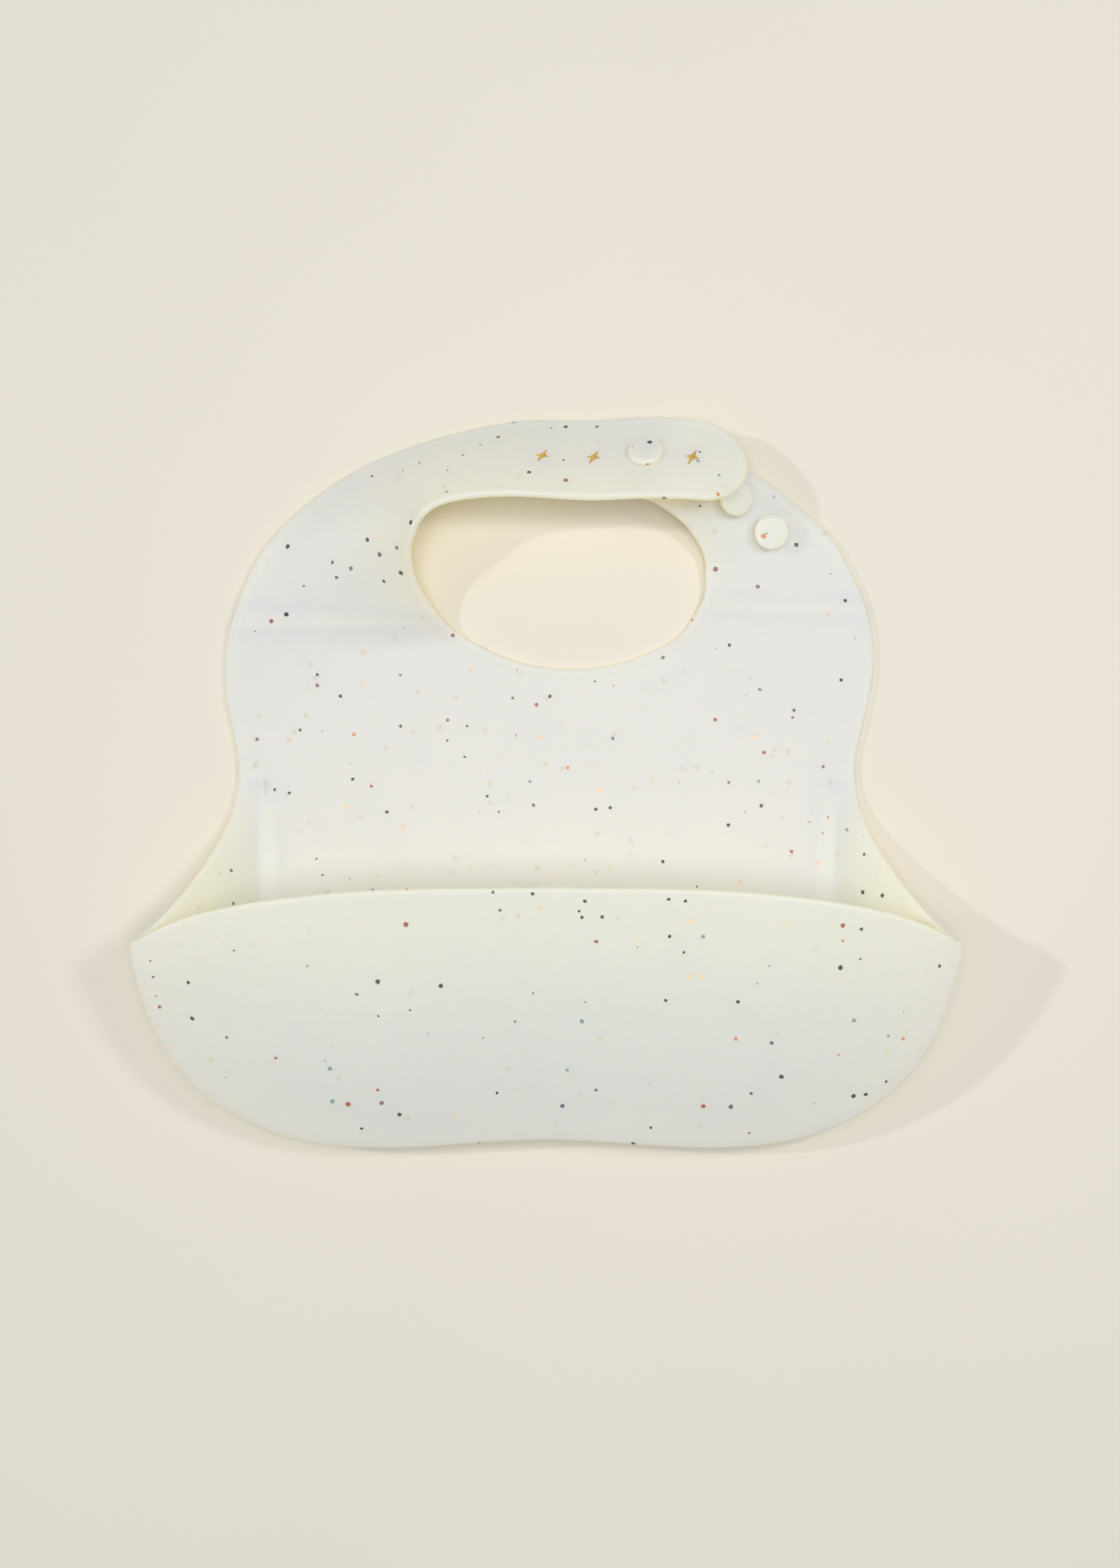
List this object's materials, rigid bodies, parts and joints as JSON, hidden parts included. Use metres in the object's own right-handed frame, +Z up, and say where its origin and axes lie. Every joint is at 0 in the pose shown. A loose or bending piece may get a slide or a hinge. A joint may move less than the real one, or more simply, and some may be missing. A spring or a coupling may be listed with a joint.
{
  "type": "silicone baby bib",
  "caption": "Soft one-piece baby bib with a deep catch pocket, side wings, a round neck opening and a buttoned neck strap with mushroom studs and star slits.",
  "frame": {"origin": "on the flat back, on the bib's middle line, 9 mm from the waist fold towards the pocket", "axes": "+X to the wearer's left, across the pocket; +Y from the pocket towards the neck strap; +Z up from the table, through the sheet"},
  "size_m": [0.234, 0.2099, 0.0399],
  "materials": {
    "speckled_silicone": "satin, off-white with small scattered multicolour specks"
  },
  "bodies": {
    "apron": {"back_panel": "speckled_silicone", "pocket_side_wall": "speckled_silicone", "wing_left": "speckled_silicone", "wing_right": "speckled_silicone"},
    "pocket": {"pocket_front": "speckled_silicone"},
    "chest": {"chest_panel": "speckled_silicone", "shoulder_left": "speckled_silicone", "shoulder_right": "speckled_silicone"},
    "neck_loop": {"neck_band": "speckled_silicone", "stud_strap": "speckled_silicone", "stud_1": "speckled_silicone", "stud_2": "speckled_silicone", "stud_3": "speckled_silicone", "stud_4": "speckled_silicone"},
    "button_strap": {"hole_strap": "speckled_silicone", "buttonhole_web": "speckled_silicone"}
  },
  "joints": [
    {"name": "pocket_mouth", "type": "hinge", "parent": "apron", "child": "pocket", "pos_m": [0, -0.1, 0.005], "axis": [1, 0, 0], "range_deg": [-12, 18], "stiffness_Nm_per_rad": 1, "deforming": ["pocket_side_wall", "wing_left", "wing_right"]},
    {"name": "chest_fold", "type": "hinge", "parent": "apron", "child": "chest", "pos_m": [0, 0.00915, 0.002], "axis": [1, 0, 0], "range_deg": [0, 90], "stiffness_Nm_per_rad": 0.05},
    {"name": "neck_loop_lift", "type": "hinge", "parent": "chest", "child": "neck_loop", "pos_m": [0, 0.06115, 0.021], "axis": [1, 0, 0], "range_deg": [0, 40], "stiffness_Nm_per_rad": 0.05},
    {"name": "strap_unbutton", "type": "hinge", "parent": "neck_loop", "child": "button_strap", "pos_m": [-0.02918, 0.09384, 0.01806], "axis": [0.004, -0.7817, 0.6236], "range_deg": [0, 85], "stiffness_Nm_per_rad": 0.02, "deforming": ["buttonhole_web"]}
  ]
}
